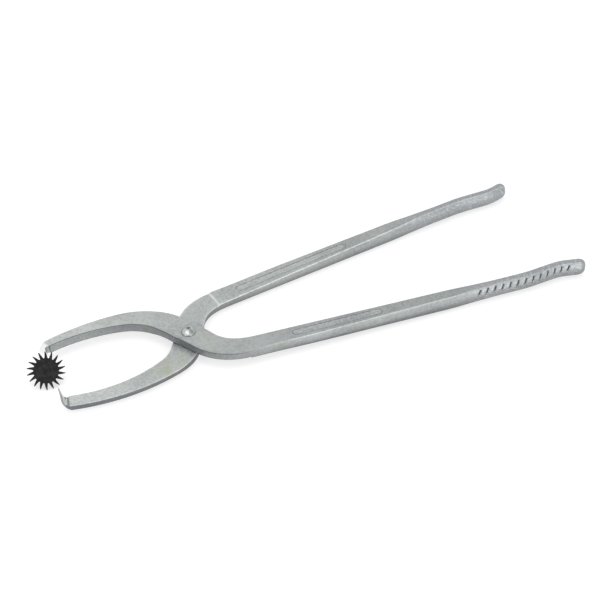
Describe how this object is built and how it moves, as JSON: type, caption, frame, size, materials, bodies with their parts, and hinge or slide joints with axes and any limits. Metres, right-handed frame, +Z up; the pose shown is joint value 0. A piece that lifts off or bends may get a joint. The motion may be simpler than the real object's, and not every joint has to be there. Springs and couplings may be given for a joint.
{
  "type": "brake spring pliers",
  "caption": "Long-handled forged pliers with bowed jaws: a rolling star wheel on one tip and a drawn-out hook on the other, joined by one domed rivet.",
  "frame": {"origin": "on the joint rivet's axis, in the plane where the two halves meet", "axes": "+X towards the handles, +Y towards the bow of the star jaw, +Z up out of the domed rivet head, with the star half on top"},
  "size_m": [0.3343, 0.0945, 0.0174],
  "materials": {
    "zinc_steel": "satin zinc plate over tumbled forging",
    "polished_steel": "polished dome",
    "black_steel": "matte black oxide",
    "black_rivet": "satin black oxide"
  },
  "bodies": {
    "hook_half": {"hook_lever": "zinc_steel", "pivot_rivet": "polished_steel"},
    "star_half": {"star_lever": "zinc_steel", "wheel_rivet": "black_rivet"},
    "wheel": {"star_wheel": "black_steel"}
  },
  "joints": [
    {"name": "plier_pivot", "type": "hinge", "parent": "hook_half", "child": "star_half", "pos_m": [0, 0, 0], "axis": [0, 0, 1], "range_deg": [-25, 9]},
    {"name": "wheel_spin", "type": "hinge", "parent": "star_half", "child": "wheel", "pos_m": [-0.08317, 0.00681, 0.0022], "axis": [-0.129, -0.7319, 0.6691], "continuous": true}
  ]
}
